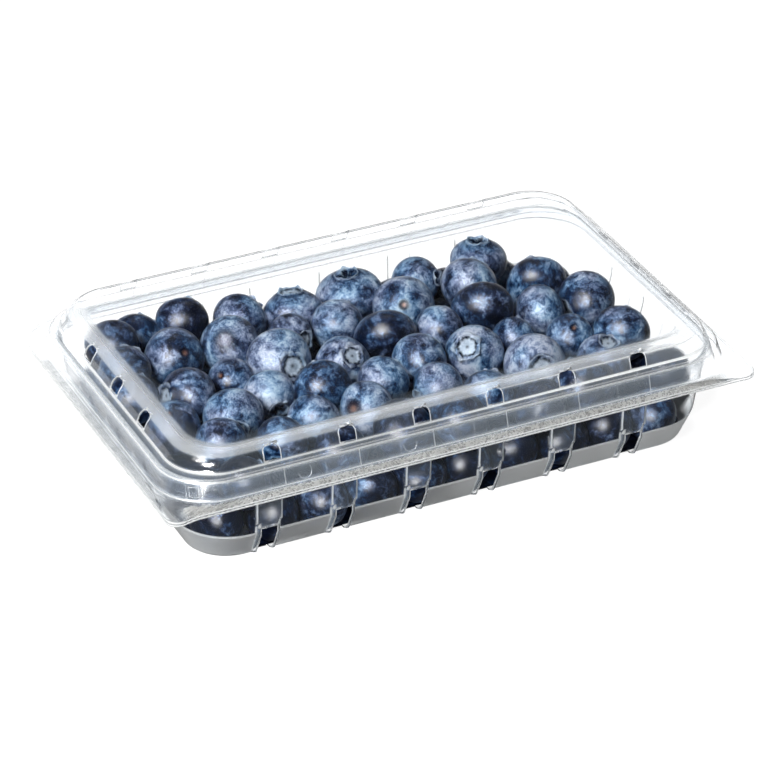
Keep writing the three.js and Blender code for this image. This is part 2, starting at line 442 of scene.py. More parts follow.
flangeShape = {
    "length": 186.8, "depth": 119.8,
    "cornerFront": 4.0, "cornerBack": 16.0,
    "hingeReach": 77.0, "hingeY": 59.3,  # between these the sheet stops at the crease
    "knurlStep": 0.55, "knurlHeight": 0.17, "knurlRows": 6,
    "knurlStart": 0.12,  # share of the flange's width that is plain inside the knurl
    "knurlEdge": 0.6,  # plain margin outside it
    "knurlFront": (-90, 5, 87, 10, -54),  # along the front: start, fade, end, fade and inner y
    "knurlLeft": (-5, 44, 3, -86, 0.4),  # along the left end: middle, reach, fade, inner x and how strong
    "knurlMilk": (0.02, 0.38),  # least and most
    "plainMilk": 0.01, "edgeMilk": 0.60,
    "droopLeft": 0.9, "droopRight": 0.2,  # the loose front corners hang down a little
    "droopX": (84, 9.5), "droopY": (50, 10), "droopSteep": 1.2,  # from where they do, over what length
    "rimZ": (22.6, 24.9),  # both flanges lie between these
}


def knurlMask(points):
    # the knurl runs along the front and fainter along the left end, and fades out at the corners
    x, y = points[:, 0], points[:, 1]
    start, startFade, end, endFade, innerY = flangeShape["knurlFront"]
    front = smoothStep((x - start) / startFade) * smoothStep((end - x) / endFade) * (y < innerY)
    middle, reach, fade, innerX, share = flangeShape["knurlLeft"]
    left = smoothStep((reach - np.abs(y - middle)) / fade) * (x < innerX) * share
    return np.clip(front + left, 0, 1)


def addFlange(sheet, loop, lastRow, z, rng):
    # the flat rim outside a wall: fine knurled rows, stitched to the wall's coarser columns
    shape = flangeShape
    edge = np.array([shape["length"] / 2, shape["depth"] / 2, shape["cornerFront"], shape["cornerBack"], z])
    start = lastRow.copy()
    start[4] = z
    width = edge[1] - start[1]
    knurled = np.linspace(shape["knurlStart"], 1 - shape["knurlEdge"] / width, shape["knurlRows"])
    shares = [shape["knurlStart"] / 2] + list(knurled) + [(knurled[-1] + 1) / 2, 1.0]
    coarse = [ringAt(loop, start + (edge - start) * share) for share in shares]
    middle = coarse[len(coarse) // 2]
    lengths = np.linalg.norm(np.roll(middle, -1, 0) - middle, axis=1)
    splits = np.maximum(1, np.round(lengths / shape["knurlStep"])).astype(int)
    first = len(sheet["verts"]) - loop["count"]  # the wall's last ring
    base = len(sheet["verts"])
    rows, masks = [], []
    for j, ring in enumerate(coarse):
        step = np.roll(ring, -1, 0) - ring
        row = np.concatenate([ring[i] + step[i] * (np.arange(n)[:, None] / n) for i, n in enumerate(splits)])
        mask = knurlMask(row) if 1 <= j <= shape["knurlRows"] else np.zeros(len(row))
        row[:, 2] += shape["knurlHeight"] * ((np.arange(len(row)) + j) % 2 - 0.5) * 2 * mask
        rows.append(row)
        masks.append(mask)
    total = len(rows[0])
    starts = np.concatenate([[0], np.cumsum(splits)])
    for i in range(loop["count"]):
        d = (i + 1) % loop["count"]
        edgeRun = [base + k % total for k in range(starts[i], starts[i + 1] + 1)]
        sheet["faces"].append((first + i, first + d, *reversed(edgeRun)))
    sheet["faces"] += [tuple(base + v for v in face) for face in gridFaces(len(rows), total)]
    mask = np.concatenate(masks)
    least, most = shape["knurlMilk"]
    milk = shape["plainMilk"] + mask * (least + (most - least) * rng.random(len(mask)))
    milk[-total:] = shape["edgeMilk"]
    sheet["verts"] = np.concatenate([sheet["verts"], *rows])
    sheet["milk"] = np.concatenate([sheet["milk"], milk])
    sheet["knurl"] = np.concatenate([sheet["knurl"], mask])


def startSheet(loop, rings, skip, milk):
    # the walls, and the flat panel that closes them
    faces = gridFaces(len(rings), loop["count"], skip)
    faces.append(tuple(range(loop["count"]))[::-1])
    verts = np.concatenate(rings)
    return {"verts": verts, "faces": faces, "milk": milk.ravel(), "knurl": np.zeros(len(verts))}


def settleRim(verts):
    # the front corners hang, and the back edge stops at the hinge's crease
    shape = flangeShape
    x, y, z = verts.T
    share = 1
    for away, (start, over) in ((np.abs(x), shape["droopX"]), (-y, shape["droopY"])):
        share = share * np.clip((away - start) / over, 0, 1)
    low, high = shape["rimZ"]
    rim = (z > low) & (z < high)
    droop = np.where(x < 0, shape["droopLeft"], shape["droopRight"])
    verts[:, 2] -= np.where(rim, droop * smoothStep(share * shape["droopSteep"]), 0)
    hinge = rim & (np.abs(x) < shape["hingeReach"])
    verts[:, 1] = np.where(hinge, np.minimum(y, shape["hingeY"]), y)
    return verts


def finishSheet(name, sheet, material, thickness):
    verts = settleRim(sheet["verts"])
    piece = addPiece(name, verts, sheet["faces"], material)
    far = [rise(verts[:, axis], *farWalls[wall]) for axis, wall in enumerate(("right", "back"))]
    addValues(piece, "far", np.maximum(*far))
    addValues(piece, "milk", sheet["milk"])
    addValues(piece, "knurl", sheet["knurl"])
    thicken(piece, thickness)
    return piece


lidSheet = {
    "thickness": 0.4,
    "section": [
        (74, 42.4, 9, 9, 36.32, 0, 0),
        (78.4, 46.8, 12.4, 12.4, 36.32, 0.6, 0.1),
        (80.3, 48.6, 13, 13, 36.7, 0.4, 0.2),
        (81.9, 50.2, 13.5, 13.5, 36.28, 0.4, 0.18),
        (83.1, 51.1, 14, 14, 35.4, 0.5, 0.16),
        (84.6, 52.3, 14.6, 14.6, 33.8, 1.2, 0),
        (85.3, 52.9, 15, 15, 31.9, 0, 0.02),
        (85.6, 53.2, 15, 15, 31.3, 0.4, 0.3),
        (87.9, 54.1, 15.3, 15.3, 30.3, 0.35, 0.18),
        (88.6, 54.5, 15.6, 15.6, 29.6, 0.4, 0.28),
        (90.2, 56.1, 17, 17, 24.6, 0.5, 0.2),
        (90.8, 56.7, 17, 17, 24.3, 0, 0),
    ],
    "zones": [(31.9, 36.0, 0.5), (24.6, 29.6, 1.0)],
    "reach": (64.5, 32.0), "widest": 2.4, "cornerSteps": 18,  # of the columns
    "flangeZ": 24.3,
    "ventShift": -1.0, "longPitch": 23.2, "shortPitch": 20.0,
    "ventWidth": 5.0, "ventLow": 31.9, "ventHigh": 35.6, "ventLip": 0.4,
    "ventRound": 1.3, "roundFade": 0.8,  # radius of the vents' upper corners, and how far above it fades
    "crestInner": 47.0, "crestOuter": 51.2, "shoulderZ": 31.3, "ledgeZ": 29.6,  # where each part ends
    # the crest's white strip is milk and a painted highlight; the rest is milk
    "crestMilkAndHighlight": 0.16, "shoulderMilk": 0.022, "ledgeMilk": 0.02, "bandMilk": 0.006,
    "shoulderRight": (2.8, -20, 100),  # how much milkier it gets to the right, from where and over what
    "farClear": 0.85,  # how much of their milk the far sides lose
    # painted highlights along the vents' edges
    "lipHighlight": 0.35, "lipReach": 2.0, "lipFade": 0.3, "lipWidth": 0.16,  # white edges of the vents
    "bandZ": (24.9, 29.7),
    "creaseHalf": 0.22,
    # creases without depth, drawn as white lines: partly milk, partly painted highlight
    "creases": [(1.5, 0.26), (-9.0, 0.14)],  # white lines upright in the band: shift and milk
}


def columnLoop(spec, longMarks, shortMarks):
    # the columns of a sheet, with one at every mark
    longReach, shortReach = spec["reach"]
    return makeLoop(sortedStations(longMarks, longReach, spec["widest"]),
                    sortedStations(shortMarks, shortReach, spec["widest"]), spec["cornerSteps"])


def roundVents(spec, loop, rings, vent, top):
    # draw the sides of the vents in near their tops, so that their upper corners are round
    radius = spec["ventRound"]
    away = np.abs(vent) - spec["ventWidth"] / 2
    side = (away > -0.05) & (away < spec["ventLip"] + 0.05)
    along = side & (loop["side"] % 2 == 0)
    across = side & (loop["side"] % 2 == 1)
    for ring in rings:
        down = top - ring[0, 2]
        if down < 0:
            inward = radius * max(1 + down / spec["roundFade"], 0)
        else:
            inward = radius - math.sqrt(radius ** 2 - max(radius - down, 0) ** 2)
        ring[along, 0] -= np.sign(vent[along]) * inward
        ring[across, 1] -= np.sign(vent[across]) * inward


def lidMilk(spec, loop, rows, foldMilkAndGlint, vent):
    # milkier on the crest and on the folds, with painted highlights there and round the vents, and clearer
    # on the far sides
    z, b = rows[:, 4], rows[:, 1]
    parts = [b < spec["crestInner"], b < spec["crestOuter"], z > spec["shoulderZ"], z > spec["ledgeZ"]]
    milks = [0.0, spec["crestMilkAndHighlight"], spec["shoulderMilk"], spec["ledgeMilk"]]
    flat = np.select(parts, milks, spec["bandMilk"])
    milk = np.repeat(np.maximum(flat, foldMilkAndGlint)[:, None], loop["count"], 1)
    more, start, over = spec["shoulderRight"]
    milk[(b > spec["crestOuter"]) & parts[2]] *= 1 + more * rise(ringAt(loop, rows[-1])[:, 0], start, over)
    milk *= 1 - spec["farClear"] * farSides(loop)[None, :]
    ventMiddle = (spec["ventLow"] + spec["ventHigh"]) / 2
    lipRows = ridge(np.clip(np.abs(z - ventMiddle) - spec["lipReach"], 0, None), spec["lipFade"])
    lips = lipRows[:, None] * ridge(np.abs(vent) - spec["ventWidth"] / 2, spec["lipWidth"])[None, :]
    return np.maximum(milk, spec["lipHighlight"] * lips)


def makeLid(spec):
    longVents = spread(6, spec["longPitch"], spec["ventShift"])
    shortVents = spread(3, spec["shortPitch"])
    creases = [spread(6, spec["longPitch"], shift) for shift, _ in spec["creases"]]
    half, lip, fold = spec["ventWidth"] / 2, spec["ventLip"], spec["creaseHalf"]
    ventMarks = (-half - lip, -half, half, half + lip)
    longMarks = [v + d for v in longVents for d in ventMarks]
    longMarks += [c + d for run in creases for c in run for d in (-fold, 0, fold)]
    loop = columnLoop(spec, longMarks, [v + d for v in shortVents for d in ventMarks])
    rows, foldMilkAndGlint = addRows(*roundFolds(spec["section"], 4), spec["zones"])
    rings = [ringAt(loop, row) for row in rows]
    vent = fromCentres(loop, longVents, shortVents)
    milk = lidMilk(spec, loop, rows, foldMilkAndGlint, vent)
    low, high = spec["bandZ"]
    band = (rows[:, 4] > low) & (rows[:, 4] < high)
    # painted highlight lines for the creases
    for run, (_, white) in zip(creases, spec["creases"]):
        milk[np.ix_(band, np.abs(fromCentres(loop, run, [])) < 0.05)] = white
    skip = openCells(loop, rows, vent, half, spec["ventLow"], spec["ventHigh"])
    roundVents(spec, loop, rings, vent, rows[skip.any(1).argmax(), 4])
    sheet = startSheet(loop, rings, skip, milk)
    addFlange(sheet, loop, rows[-1], spec["flangeZ"], np.random.default_rng(21))
    sheet["faces"] = [face[::-1] for face in sheet["faces"]]
    piece = finishSheet("lidShell", sheet, lidClear, spec["thickness"])
    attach(piece, "lid")
    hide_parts("lid")


makeLid(lidSheet)
print("lid made")


# Fine raised lines pressed into the lid's band. A place on the band is how far along it is, counted from the
# middle of the front and on round the corner, and its height.
lidBeads = {
    "thick": 0.13, "milk": 0.10, "steps": 24,
    "top": (54.6, 15.6, 29.6), "foot": (56.2, 17.0, 24.6),  # the band: half depth, corner, height
    "cornerX": 73.1,  # where the front ends and the corner begins
    # rings: place, height, radius, and the angles where they start and end
    "buttons": [(-50.4, 27.2, 2.0, 190, 400), (-17.8, 27.2, 2.0, 170, 370), (-69.3, 28.1, 0.8, 0, 360)],
    "frames": [(-83.6, 27.1, 4.6, 4.4), (-83.6, 27.1, 2.8, 2.6)],  # pressed frames: place, height, size
}


def beadTube(points, thick, closed):
    # a round thread along a list of points
    sides = 6
    across = (0.13, -0.96, 0.25)  # roughly square to the band
    points = np.array(points, float)
    ahead = np.roll(points, -1, 0) - np.roll(points, 1, 0)
    if not closed:
        ahead[0], ahead[-1] = points[1] - points[0], points[-1] - points[-2]
    ahead /= np.linalg.norm(ahead, axis=1)[:, None]
    one = np.cross(ahead, across)
    one /= np.linalg.norm(one, axis=1)[:, None]
    two = np.cross(ahead, one)
    angles = np.arange(sides) * 2 * math.pi / sides
    verts = (points[:, None] + thick * (one[:, None] * np.cos(angles)[None, :, None]
                                        + two[:, None] * np.sin(angles)[None, :, None])).reshape(-1, 3)
    n = len(points)
    faces = gridFaces(n, sides)
    if closed:
        faces += [((n - 1) * sides + k, (n - 1) * sides + (k + 1) % sides, (k + 1) % sides, k)
                  for k in range(sides)]
    else:
        faces += [tuple(range(sides))[::-1], tuple((n - 1) * sides + k for k in range(sides))]
    return verts, faces


def onBand(spec, along, z):
    share = (spec["top"][2] - z) / (spec["top"][2] - spec["foot"][2])
    b, radius = (high + (low - high) * share for high, low in zip(spec["top"][:2], spec["foot"][:2]))
    turn = max(abs(along) - spec["cornerX"], 0) / radius
    x = min(abs(along), spec["cornerX"]) + radius * math.sin(turn)
    return math.copysign(x, along), -(b - radius + radius * math.cos(turn)), z


def makeBeads(spec):
    lines = []
    for x, z, radius, start, end in spec["buttons"]:
        angles = np.radians(np.linspace(start, end, spec["steps"], endpoint=end - start < 360))
        points = [onBand(spec, x + radius * math.cos(t), z + radius * math.sin(t)) for t in angles]
        lines.append((points, end - start >= 360))
    for x, z, width, height in spec["frames"]:
        square = ((-1, -1), (1, -1), (1, 1), (-1, 1))
        corners = [(x + sx * width / 2, z + sz * height / 2) for sx, sz in square]
        lines.append(([onBand(spec, *corner) for corner in corners], True))
    verts, faces = [], []
    for points, closed in lines:
        v, f = beadTube(points, spec["thick"], closed)
        base = sum(len(part) for part in verts)
        verts.append(v)
        faces += [tuple(base + i for i in face) for face in f]
    verts = np.concatenate(verts)
    piece = addPiece("lidBeads", verts, faces, lidClear)
    addValues(piece, "milk", np.full(len(verts), spec["milk"]))
    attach(piece, "lid")


makeBeads(lidBeads)
print("beads made")


traySheet = {
    "thickness": 0.4,
    "section": [
        (71, 40.8, 4.5, 4.5, 0.5, 0, 0),
        (72, 41.8, 5.5, 5.5, 0.5, 0.5, 0.05),
        (73, 42.8, 6.5, 6.5, 0, 0.5, 0.05),
        (77.6, 47.3, 11, 11, 0, 0, 0),
        (79.3, 49, 12.8, 12.8, 0, 1.2, 0),
        (82.4, 53.3, 16.4, 16.4, 8.8, 0.35, 0.9),
        (82.8, 53.35, 16.6, 16.6, 9.9, 0, 0),
        (85.8, 53.9, 19, 19, 22.8, 0.3, 0.1),
        (86.4, 53.1, 17.5, 17.5, 28.3, 0.25, 0.15),
        (86.9, 53.35, 17, 17, 28.3, 0.25, 0.15),
        (88.2, 54.4, 16.5, 16.5, 23.3, 0.4, 0.1),
        (88.9, 55, 16.5, 16.5, 23.1, 0, 0),
    ],
    "zones": [(0.1, 22.7, 1.2), (8.6, 9.6, 0.35), (10.6, 13.6, 0.16)],
    "reach": (65.9, 32.0), "widest": 2.6, "cornerSteps": 14,  # of the columns
    # columns beside each rib, in widths of its side
    "ribColumns": (-2.6, -2, -1.5, -1, -0.75, -0.5, -0.25, 0, 0.25, 0.5, 0.75, 1.1),
    "flangeZ": 23.1,
    "ribShift": -3.2, "longPitch": 23.2, "shortPitch": 20.0,
    "ribWidth": 8.2, "ribProud": 1.5, "ribCorner": 2.2,
    "channelWidth": 6.8, "channelProud": 1.32,
    "stepZ": 11.5, "fadeZ": 20.6, "rimZ": 22.7,
    "edge": 0.6,  # how wide a rib's side is
    "ribY": 49.0, "ribRise": (48.9, 0.8),  # half depth of the wall where the ribs begin, and how they rise
    "farRibs": 0.5,  # how much of their height the far sides' ribs lose
    "ventWidth": 5.0, "ventTop": 11.4,
    "wallY": 49.05, "footZ": 8.9, "lowFoldZ": 9.5, "wallZ": 21.5, "wallFade": 1.5,  # where each part ends
    "wallMilk": 0.004, "pocketMilk": 0.026, "channelMilk": 0.04,
    # the foot's least and most across each bay, whose rise is painted light, and how much milkier
    # it gets to the right, from where and over what
    "footMilkAndLight": (0.14, 0.42), "footRight": (2.6, -30, 90),
    "highFolds": 0.8, "rimFactor": 4,  # for the folds above the lowest, and for the rim at the far sides
    # painted highlight lines round the ribs and along the channels
    "lineHighlight": 0.50, "lineWidth": 0.17, "lineLow": 1.5, "lineHigh": 1.1, "channelLine": 0.7,
}


def boxDistance(u, v, halfU, halfV, corner):
    # how far outside a rounded rectangle a point is, negative inside
    qu = np.abs(u) - halfU + corner
    qv = np.abs(v) - halfV + corner
    return np.hypot(np.maximum(qu, 0), np.maximum(qv, 0)) + np.minimum(np.maximum(qu, qv), 0) - corner


def pocketDistance(spec, offset, z):
    # how far outside a rib's pocket a place on the wall is
    high = 40.0
    middle = (spec["stepZ"] + high) / 2
    half = (high - spec["stepZ"]) / 2
    return boxDistance(offset, z - middle, spec["ribWidth"] / 2, half, spec["ribCorner"])


def ribRelief(spec, offset, z):
    # how far the sheet stands out at an offset from a rib's middle
    pocket = pocketDistance(spec, offset, z)
    channel = np.abs(offset) - spec["channelWidth"] / 2
    relief = spec["ribProud"] * smoothStep(0.5 - pocket / spec["edge"])
    relief = np.maximum(relief, spec["channelProud"] * smoothStep(0.5 - channel / spec["edge"]))
    return relief * smoothStep((spec["rimZ"] - z) / (spec["rimZ"] - spec["fadeZ"]))


def trayMilk(spec, loop, rows, foldMilkAndGlint, rib):
    # the steep foot is stretched thin and milky, more to the right and lighter across each bay as painted
    # light, and a painted highlight line runs round each rib
    z, b = rows[:, 4][:, None], rows[:, 1][:, None]
    onWall = b > spec["wallY"]
    offset = rib[None, :]
    # painted light: lighter towards the right of each bay
    along = np.where(np.abs(offset) < 30, offset / spec["longPitch"] % 1, 0.5)
    least, most = spec["footMilkAndLight"]
    more, start, over = spec["footRight"]
    stretch = 1 + more * rise(ringAt(loop, rows[-1])[:, 0], start, over)[None, :]
    foot = (least + (most - least) * along) * stretch
    milk = np.where(onWall & (z < spec["footZ"]), foot, spec["wallMilk"])
    milk = np.maximum(milk, foldMilkAndGlint[:, None] * np.where(z < spec["lowFoldZ"], 1, spec["highFolds"]))
    farRim = (z > 24) & (loop["out"].max(1) > farWalls["facing"][0])[None, :]
    milk = np.where(farRim, spec["rimFactor"] * milk, milk)
    wall = onWall & (z < spec["wallZ"])
    pocket = pocketDistance(spec, offset, z)
    milk = np.where(wall & (pocket < 0), spec["pocketMilk"], milk)
    below = wall & (z < spec["stepZ"]) & (np.abs(offset) < spec["channelWidth"] / 2 + 0.4)
    milk = np.where(below, spec["channelMilk"], milk)
    fade = np.where(wall, smoothStep((spec["wallZ"] - z) / spec["wallFade"]), 0)
    half = spec["edge"] / 2
    # painted highlights: a white line round each pocket and along the channel's edges
    lines = ridge(pocket + half, spec["lineWidth"])
    lines = lines * np.where(z < spec["stepZ"] + spec["ribCorner"], spec["lineLow"], spec["lineHigh"])
    edge = np.maximum(ridge(np.abs(offset) - spec["channelWidth"] / 2 - 0.3, 0.2),
                      ridge(np.abs(offset) - spec["ventWidth"] / 2, 0.15))
    lines = np.where(z < spec["stepZ"] - half, spec["channelLine"] * edge, lines)
    return np.clip(np.maximum(milk, spec["lineHighlight"] * lines * fade), 0, 1)


def makeTray(spec):
    longRibs = spread(6, spec["longPitch"], spec["ribShift"])
    shortRibs = spread(3, spec["shortPitch"])
    half = spec["ventWidth"] / 2
    sides = [s * (spec["ribWidth"] / 2 + spec["edge"] * k) for s in (-1, 1) for k in spec["ribColumns"]]
    sides += [-half, half]
    loop = columnLoop(spec, *([r + d for r in ribs for d in sides] for ribs in (longRibs, shortRibs)))
    rows, foldMilkAndGlint = addRows(*roundFolds(spec["section"]), spec["zones"])
    rib = fromCentres(loop, longRibs, shortRibs)
    rings = [ringAt(loop, row) for row in rows]
    near = np.abs(rib) < 6.0
    start, over = spec["ribRise"]
    for row, ring in zip(rows, rings):
        if row[1] > spec["ribY"] and row[4] < spec["rimZ"]:
            relief = ribRelief(spec, rib[near], row[4]) * rise(row[1], start, over)
            relief *= 1 - spec["farRibs"] * farSides(loop)[near]
            ring[near, :2] += loop["out"][near] * relief[:, None]
    skip = openCells(loop, rows, rib, half, -1.0, spec["ventTop"]) & (rows[:-1, 1] > 47.2)[:, None]
    sheet = startSheet(loop, rings, skip, trayMilk(spec, loop, rows, foldMilkAndGlint, rib))
    addFlange(sheet, loop, rows[-1], spec["flangeZ"], np.random.default_rng(22))
    piece = finishSheet("trayShell", sheet, trayClear, spec["thickness"])
    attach(piece, "tray")
    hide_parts("tray")


makeTray(traySheet)
print("tray made")


hingeStrip = {
    "reach": 77.0, "thickness": 0.22,
    "low": 23.3, "high": 24.1, "y": 59.2, "out": 0.5,
    "steps": 10, "columns": 160,
    "milk": 0.06,
}


def makeHinge(spec):
    # the living hinge: a folded strip from the tray's rim round to the lid's
    middle = (spec["low"] + spec["high"]) / 2
    rise = (spec["high"] - spec["low"]) / 2
    section = []
    for i in range(spec["steps"] + 1):
        angle = math.pi * i / spec["steps"] - math.pi / 2
        section.append((spec["y"] + spec["out"] * math.cos(angle), middle + rise * math.sin(angle)))
    xs = np.linspace(-spec["reach"], spec["reach"], spec["columns"])
    verts = [(x, y, z) for x in xs for y, z in section]
    n = len(section)
    faces = [(c * n + r, (c + 1) * n + r, (c + 1) * n + r + 1, c * n + r + 1)
             for c in range(len(xs) - 1) for r in range(n - 1)]
    piece = addPiece("hingeStrip", verts, faces, trayClear)
    addValues(piece, "milk", np.full(len(verts), spec["milk"]))
    thicken(piece, spec["thickness"])
    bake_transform(piece)


makeHinge(hingeStrip)
print("hinge made")


# The top of the heap: x and y where a berry's middle would be at heapLevel, its diameter, how flat it is,
# how pale (-1 to 1), and what it turns to the viewer, with (right, up) on its face in radii: its crown, an
# open crown, a stem scar, a wide scar, a dry scar, or neither end.
heapLevel = 24.0
topBerries = [
    (-64, 40, 16.6, 0.9, -0.3, "plain", (0.3, 0.8)),
    (-70.5, 35, 16.5, 0.9, -0.4, "scar", (-0.45, 0.2)),
    (-47, 40.5, 15.5, 0.92, -0.6, "plain", (0.2, 1)),
    (-32.5, 31, 17, 0.9, 0, "plain", (0.6, 0.8)),
    (-15, 32, 18.8, 0.7, -0.1, "crown", (-0.12, 0.93)),
    (5.5, 34, 20, 0.68, -0.1, "open", (-0.17, 0.86)),
    (26.5, 32, 15.6, 0.92, 0.1, "open", (0.9, 0.15)),
    (49.5, 35, 18.2, 0.76, 0.1, "open", (-0.07, 0.9)),
    (40.5, 23, 17.4, 0.92, 0.3, "plain", (0.4, 0.9)),
    (59, 15, 18.6, 0.74, -0.3, "plain", (-0.1, 1)),
    (68, 0, 18, 0.92, -0.2, "crown", (-0.8, -0.4)),
    (51.5, 0.5, 16.4, 0.86, 0, "plain", (1, 0.2)),
    (54, -17, 14, 0.94, -0.2, "scar", (0.1, 0.35)),
    (68, -22.5, 17.8, 0.84, -0.3, "plain", (0.25, 1)),
    (38, 7.5, 20, 0.72, -0.7, "plain", (-0.15, 1)),
    (37.5, -12.5, 13.6, 0.92, -0.4, "plain", (0.2, 1)),
    (23.5, -13.5, 17.6, 0.9, 0.4, "crown", (-0.28, 0.24)),
    (36.5, -26.5, 18.8, 0.9, 0.5, "crown", (0.22, -0.1)),
    (20, 3.5, 14.6, 0.94, 0.1, "plain", (0.4, 0.9)),
    (17, 20.5, 18.6, 0.84, 0.2, "scar", (0, 0.02)),
    (-6, 16.5, 16.1, 0.92, 0.2, "plain", (0.3, 0.9)),
    (-23, 15.5, 14.6, 0.92, 0, "crown", (0.7, -0.1)),
    (-30.5, 7.5, 19.2, 0.92, 0.4, "crown", (0.5, -0.15)),
    (-16, -4.5, 17.2, 0.9, 0.4, "crown", (0.42, 0.35)),
    (-26.5, -12, 17, 0.9, -0.6, "plain", (-0.4, 0.9)),
    (2.5, 6, 19.4, 0.74, -0.9, "plain", (-0.2, 1)),
    (6.5, -11, 16.4, 0.92, -0.1, "plain", (0.5, 0.8)),
    (5.5, -24, 15.3, 0.92, 0.1, "crown", (-0.8, -0.42)),
    (-9.5, -18, 15.7, 0.92, 0.1, "plain", (0.5, 0.8)),
    (-17.5, -27, 16.4, 0.9, 0.2, "wide", (-0.5, 0)),
    (-36, -27, 15.5, 0.9, 0, "plain", (0.1, 1)),
    (-42, -9.5, 15.4, 0.92, 0.5, "open", (0.42, -0.65)),
    (-49, 1, 13.8, 0.94, 0.1, "scar", (-0.42, 0.22)),
    (-39.5, 23.5, 17.2, 0.94, 0.2, "dry", (-0.15, 0.2)),
    (-56, 22.5, 18.2, 0.92, 0, "scar", (0.45, 0.15)),
    (-73, 23.5, 15.4, 0.9, -0.2, "plain", (0.2, 1)),
    (-60.5, 1, 17.2, 0.92, 0, "crown", (-0.85, 0)),
    (-75.5, 7, 15.6, 0.92, -0.3, "plain", (0.3, 0.9)),
    (-54, -17, 17.8, 0.92, 0.4, "crown", (0.15, -0.45)),
    (-72.5, -13, 16, 0.92, -0.1, "scar", (-0.15, 0.55)),
    (-62.5, -26, 15.6, 0.92, -0.1, "plain", (0.4, 0.9)),
    (16.5, -36.5, 15, 0.92, -0.2, "plain", (0.2, 1)),
    (56, -33.5, 15.4, 0.92, 0, "crown", (0.2, 0.75)),
    (-46.5, -33.5, 15, 0.92, -0.3, "plain", (0.3, 0.9)),
]
heap = {
    "level": 21.8, "mound": 2.6,  # height of the top berries' middles, and how much the heap swells
    "moundX": 84, "moundY": 52,  # where the swelling ends
    # the layers below: height, rows, berries in a row, reach x and reach y
    "layers": [(8.6, 6, 10, 73.5, 43.5), (19.5, 6, 9, 74.5, 44.0)],
    "upperZ": 15,  # between the two
    "diameter": 16.4, "spread": 1.3,
    "jitter": 0.8,  # how far a lower berry starts from its layer's grid
    "floor": 0.6, "roof": 35.9,
    # the walls' inside: half length, half depth, corner and height
    "wall": [(78.8, 48.4, 12.5, 0.4), (81.6, 52.5, 18.0, 8.8), (85.2, 53.0, 18.0, 23.0),
             (84.4, 52, 17, 30)],
    "air": 0.2,  # between any berry and the sheet
    "squeeze": 1.1,  # deepest that two berries may press together
    "drift": 1.4,  # how far a top berry may leave the line it is seen on
    # a step of settling moves a top berry by these shares: of a press along that line, of the way back to
    # its level, of a press off the line and of a press on the wall
    "topSteps": 700, "topMoves": (0.9, 0.03, 0.12, 0.4),
    # and a lower one by these: of a press, of a press in the rows that stay, and how far it sinks
    "lowSteps": 120, "lowMoves": (0.45, 0.1, 0.04),
    # the berries that stay: how many along the front, their reach, y and height, and one at their right end
    "frontRow": (10, 69.5, -46.0, 8.6), "rightEnd": (76.0, -37.0, 23.2), "stayRadius": (7.5, 7.9),
    "frontEdge": -40,  # the lower layer leaves this strip to them
    # small berries fill the gaps along the walls, at these heights
    "outerY": 44.0, "frontHeights": (8.2, 10, 12, 14, 16, 18, 20, 22), "backHeights": (8.2, 10, 12),
    "outerX": 75.0, "endHeights": (8.2, 10, 12, 15),
    "smallRadius": (6.6, 8.0),
    # where lower berries may show: beyond these, or by no more than this share
    "showY": -30, "showLeft": -66, "showRight": 60, "showZ": 14, "mostBare": 0.2,
    "innerX": 68, "innerY": 38, "innerZ": 13,  # the berries inside these, or above, are the first to go
    # the lower berries' tones are random and kept dark, as painted shade deep in the heap
    "lowToneAndShade": (-1.3, -0.1), "lowFlat": 0.9, "lowWidth": 2.07,
    # painted shade: darker colour on the berries at the left and along the front
    "leftShadeTone": 0.35, "leftX": -45,  # how much darker the berries at the left are, and from where
    "frontShadeTone": 0.4, "frontY": -35,  # and those along the front
    # painted shade over the lower berries, and less over those in front
    "lowShade": 0.65, "frontShade": 0.2, "dimY": -38,  # how dim the lower berries and those in front are
    # rings and meridians of a berry, and columns of its frill
    "meshes": {"topBerries": (34, 44, 50), "lowBerries": (28, 30, 30)},
}


def overlaps(pos, radius):
    # how deep each pair of berries presses, and which way it pushes them apart
    delta = pos[:, None, :] - pos[None, :, :]
    gap = np.linalg.norm(delta, axis=2) + np.eye(len(pos)) * 999
    depth = np.clip(radius[:, None] + radius[None, :] - gap, 0, None)
    return depth, delta / gap[:, :, None]


def insideWalls(pos, radius):
    levels = np.array(heap["wall"])
    a, b, corner = (np.interp(pos[:, 2], levels[:, 3], levels[:, k]) for k in range(3))
    a, b, corner = a - radius, b - radius, np.maximum(corner - radius, 2.0)
    inner = np.stack([np.clip(pos[:, 0], corner - a, a - corner),
                      np.clip(pos[:, 1], corner - b, b - corner)], 1)
    off = pos[:, :2] - inner
    far = np.linalg.norm(off, axis=1)
    pos[:, :2] = inner + off * np.minimum(1, corner / np.maximum(far, 1e-6))[:, None]
    pos[:, 2] = np.clip(pos[:, 2], heap["floor"] + radius, heap["roof"] - radius)
    return pos


def placeTop(start, radius):
    # slide each top berry along the line it is seen on until none is pressed
    sight = np.array(viewBack)
    onLine, toLevel, offLine, offWall = heap["topMoves"]
    lift = heap["mound"] * (1 - (start[:, 0] / heap["moundX"]) ** 2)
    lift *= 1 - (start[:, 1] / heap["moundY"]) ** 2
    rest = heap["level"] + lift
    slide = (rest - heapLevel) / sight[2]
    drift = np.zeros_like(start)
    for _ in range(heap["topSteps"]):
        pos = start + slide[:, None] * sight + drift
        depth, way = overlaps(pos, radius)
        move = (way * depth[:, :, None]).sum(1) * 0.5
        walled = insideWalls(pos.copy(), radius) - pos
        along = move @ sight
        slide += along * onLine + (rest - pos[:, 2]) * toLevel
        drift += (move - along[:, None] * sight) * offLine + walled * offWall
        far = np.linalg.norm(drift, axis=1)
        drift *= np.minimum(1, heap["drift"] / np.maximum(far, 1e-6))[:, None]
    return insideWalls(start + slide[:, None] * sight + drift, radius)


